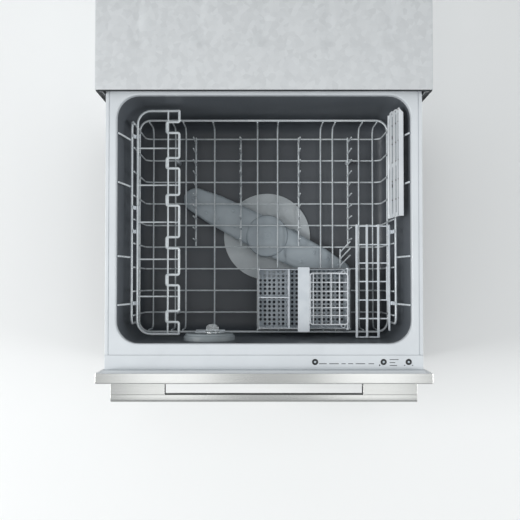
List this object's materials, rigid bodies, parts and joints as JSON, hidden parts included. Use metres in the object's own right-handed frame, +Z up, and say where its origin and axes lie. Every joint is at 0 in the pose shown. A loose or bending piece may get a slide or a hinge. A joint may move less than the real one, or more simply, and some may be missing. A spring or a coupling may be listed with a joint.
{
  "type": "dishwasher drawer",
  "caption": "Built-in dishwasher drawer, pulled open from its steel chassis, with a folding rack, cutlery basket, spray arm, dropping inner lid and stainless front.",
  "frame": {"origin": "on the floor under the middle of the open machine, halfway between the handle's front and the chassis's rear edge", "axes": "+Y from the handle to the back, +X to the right seen from the handle, +Z up"},
  "size_m": [0.598, 1.1068, 0.409],
  "materials": {
    "zinc_steel": "zinc-coated sheet, semi-gloss",
    "stainless": "fine horizontal brushing",
    "handle_metal": "brushed, clear anodised",
    "dark_plastic": "matte moulded",
    "tub_plastic": "moulded, satin",
    "rim_plastic": "moulded, fine satin",
    "light_plastic": "moulded, satin",
    "spray_plastic": "moulded, matte",
    "coated_wire": "nylon-coated wire, satin",
    "runner_steel": "rolled, zinc plated",
    "seal_rubber": "soft extruded seal",
    "clear_plastic": "clear moulded",
    "board": "solder resist",
    "motor_metal": "epoxy coated",
    "float_foam": "closed-cell foam",
    "nylon": "moulded nylon"
  },
  "bodies": {
    "chassis": {"side_panel_left": "zinc_steel", "side_panel_right": "zinc_steel", "top_panel": "zinc_steel", "back_panel": "zinc_steel", "base_tray": "dark_plastic", "front_trim": "seal_rubber", "fixing_brackets": "zinc_steel", "runner_cabinet": "runner_steel", "inlet_valve": "light_plastic", "drain_spigot": "dark_plastic", "power_inlet": "dark_plastic", "lid_motors": "motor_metal", "chassis_screws": "zinc_steel"},
    "lid": {"lid": "light_plastic", "lid_seal": "seal_rubber"},
    "drawer": {"runner_drawer": "runner_steel", "tub": "tub_plastic", "tub_rim": "rim_plastic", "control_strip": "rim_plastic", "button_board": "board", "control_module": "dark_plastic", "door_panel": "stainless", "door_liner": "light_plastic", "door_handle": "handle_metal", "door_screws": "zinc_steel", "motor_stator": "motor_metal", "heater_plate": "motor_metal", "filter_plate": "spray_plastic", "dispenser_body": "light_plastic", "fan_housing": "dark_plastic"},
    "pump": {"motor_rotor": "motor_metal", "wash_impeller": "nylon"},
    "rack": {"rack_rails": "coated_wire", "rack_wires": "coated_wire"},
    "foot_front_left": {"foot_front_left": "dark_plastic"},
    "foot_front_right": {"foot_front_right": "dark_plastic"},
    "foot_rear_left": {"foot_rear_left": "dark_plastic"},
    "foot_rear_right": {"foot_rear_right": "dark_plastic"},
    "lid_pinion_left": {"lid_pinion_left": "nylon"},
    "lid_pinion_right": {"lid_pinion_right": "nylon"},
    "flood_float": {"flood_float": "float_foam"},
    "runner_middle": {"runner_middle": "runner_steel"},
    "power_button": {"power_button": "dark_plastic"},
    "start_button": {"start_button": "dark_plastic"},
    "lock_button": {"lock_button": "dark_plastic"},
    "drain_filter": {"drain_filter": "spray_plastic"},
    "spray_arm": {"spray_arm": "spray_plastic"},
    "dispenser_door": {"dispenser_door": "light_plastic"},
    "rinse_cap": {"rinse_cap": "clear_plastic"},
    "fan_wheel": {"fan_wheel": "dark_plastic"},
    "tines_left_outer": {"tines_left_outer": "coated_wire"},
    "tines_left_inner": {"tines_left_inner": "coated_wire"},
    "tines_right_inner": {"tines_right_inner": "coated_wire"},
    "tines_right_outer": {"tines_right_outer": "coated_wire"},
    "tines_right_front": {"tines_right_front": "coated_wire"},
    "cup_rack_left": {"cup_rack_left": "coated_wire"},
    "cup_rack_rear": {"cup_rack_rear": "light_plastic"},
    "cup_rack_front": {"cup_rack_front": "coated_wire"},
    "cutlery_basket": {"cutlery_basket": "light_plastic"},
    "basket_lid": {"basket_lid": "light_plastic"}
  },
  "joints": [
    {"name": "drawer_slide", "type": "slide", "parent": "chassis", "child": "drawer", "axis": [0, -1, 0], "range_m": [-0.495, 0]},
    {"name": "runner_middle_slide", "type": "slide", "parent": "chassis", "child": "runner_middle", "axis": [0, -1, 0], "range_m": [-0.2475, 0]},
    {"name": "lid_drop", "type": "slide", "parent": "chassis", "child": "lid", "axis": [0, 0, -1], "range_m": [0, 0.0077]},
    {"name": "lid_pinion_left_turn", "type": "hinge", "parent": "chassis", "child": "lid_pinion_left", "pos_m": [-0.225, 0.52145, 0.367], "axis": [0, 1, 0], "range_deg": [0, 55.16]},
    {"name": "lid_pinion_right_turn", "type": "hinge", "parent": "chassis", "child": "lid_pinion_right", "pos_m": [0.225, 0.52145, 0.367], "axis": [0, -1, 0], "range_deg": [0, 55.16]},
    {"name": "foot_front_left_screw", "type": "slide", "parent": "chassis", "child": "foot_front_left", "axis": [0, 0, -1], "range_m": [0, 0.015]},
    {"name": "foot_front_right_screw", "type": "slide", "parent": "chassis", "child": "foot_front_right", "axis": [0, 0, -1], "range_m": [0, 0.015]},
    {"name": "foot_rear_left_screw", "type": "slide", "parent": "chassis", "child": "foot_rear_left", "axis": [0, 0, -1], "range_m": [0, 0.015]},
    {"name": "foot_rear_right_screw", "type": "slide", "parent": "chassis", "child": "foot_rear_right", "axis": [0, 0, -1], "range_m": [0, 0.015]},
    {"name": "float_rise", "type": "slide", "parent": "chassis", "child": "flood_float", "axis": [0, 0, 1], "range_m": [0, 0.006]},
    {"name": "power_button_press", "type": "slide", "parent": "drawer", "child": "power_button", "axis": [0, 0, -1], "range_m": [0, 0.0006], "stiffness_N_per_m": 600, "springref_m": -0.0008},
    {"name": "start_button_press", "type": "slide", "parent": "drawer", "child": "start_button", "axis": [0, 0, -1], "range_m": [0, 0.0006], "stiffness_N_per_m": 600, "springref_m": -0.0008},
    {"name": "lock_button_press", "type": "slide", "parent": "drawer", "child": "lock_button", "axis": [0, 0, -1], "range_m": [0, 0.0006], "stiffness_N_per_m": 600, "springref_m": -0.0008},
    {"name": "pump_spin", "type": "hinge", "parent": "drawer", "child": "pump", "pos_m": [0.008, -0.23855, 0.04], "axis": [0, 0, 1], "continuous": true},
    {"name": "drain_filter_turn", "type": "hinge", "parent": "drawer", "child": "drain_filter", "pos_m": [0.062, -0.23855, 0.08], "axis": [0, 0, 1], "range_deg": [0, 60]},
    {"name": "spray_arm_spin", "type": "hinge", "parent": "drawer", "child": "spray_arm", "pos_m": [0.008, -0.23855, 0.11], "axis": [0, 0, 1], "continuous": true},
    {"name": "dispenser_door_swing", "type": "hinge", "parent": "drawer", "child": "dispenser_door", "pos_m": [-0.103, -0.43005, 0.252], "axis": [-1, 0, 0], "range_deg": [0, 100]},
    {"name": "rinse_cap_turn", "type": "hinge", "parent": "drawer", "child": "rinse_cap", "pos_m": [-0.096, -0.43055, 0.314], "axis": [0, 1, 0], "range_deg": [0, 90]},
    {"name": "fan_spin", "type": "hinge", "parent": "drawer", "child": "fan_wheel", "pos_m": [0.08, -0.46555, 0.23], "axis": [0, 1, 0], "continuous": true},
    {"name": "rack_lift", "type": "slide", "parent": "drawer", "child": "rack", "axis": [0, 0, 1], "range_m": [0, 0.036]},
    {"name": "tines_left_outer_fold", "type": "hinge", "parent": "rack", "child": "tines_left_outer", "pos_m": [-0.141, -0.14055, 0.1337], "axis": [0, -1, 0], "range_deg": [0, 80]},
    {"name": "tines_left_inner_fold", "type": "hinge", "parent": "rack", "child": "tines_left_inner", "pos_m": [-0.047, -0.14055, 0.1337], "axis": [0, -1, 0], "range_deg": [0, 80]},
    {"name": "tines_right_inner_fold", "type": "hinge", "parent": "rack", "child": "tines_right_inner", "pos_m": [0.074, -0.14055, 0.1337], "axis": [0, -1, 0], "range_deg": [0, 80]},
    {"name": "tines_right_outer_fold", "type": "hinge", "parent": "rack", "child": "tines_right_outer", "pos_m": [0.177, -0.14055, 0.1337], "axis": [0, -1, 0], "range_deg": [0, 80]},
    {"name": "tines_right_front_fold", "type": "hinge", "parent": "rack", "child": "tines_right_front", "pos_m": [0.161, -0.28055, 0.1337], "axis": [0, -1, 0], "range_deg": [0, 24]},
    {"name": "cup_rack_left_fold", "type": "hinge", "parent": "rack", "child": "cup_rack_left", "pos_m": [-0.2405, -0.22055, 0.29], "axis": [0, -1, 0], "range_deg": [0, 78]},
    {"name": "cup_rack_rear_fold", "type": "hinge", "parent": "rack", "child": "cup_rack_rear", "pos_m": [0.2405, -0.12055, 0.28], "axis": [0, -1, 0], "range_deg": [0, 96]},
    {"name": "cup_rack_front_fold", "type": "hinge", "parent": "rack", "child": "cup_rack_front", "pos_m": [0.2405, -0.33055, 0.28], "axis": [0, 1, 0], "range_deg": [0, 78]},
    {"name": "basket_lift", "type": "slide", "parent": "rack", "child": "cutlery_basket", "axis": [0, 0, 1], "range_m": [0, 0.15]},
    {"name": "basket_lid_swing", "type": "hinge", "parent": "cutlery_basket", "child": "basket_lid", "pos_m": [0.1631, -0.37055, 0.2582], "axis": [0, 1, 0], "range_deg": [0, 90]}
  ],
  "couplings": [
    {"joint": "runner_middle_slide", "follows": "drawer_slide", "ratio": 0.5},
    {"joint": "lid_pinion_left_turn", "follows": "lid_drop", "rad_per_m": 125},
    {"joint": "lid_pinion_right_turn", "follows": "lid_drop", "rad_per_m": 125}
  ]
}
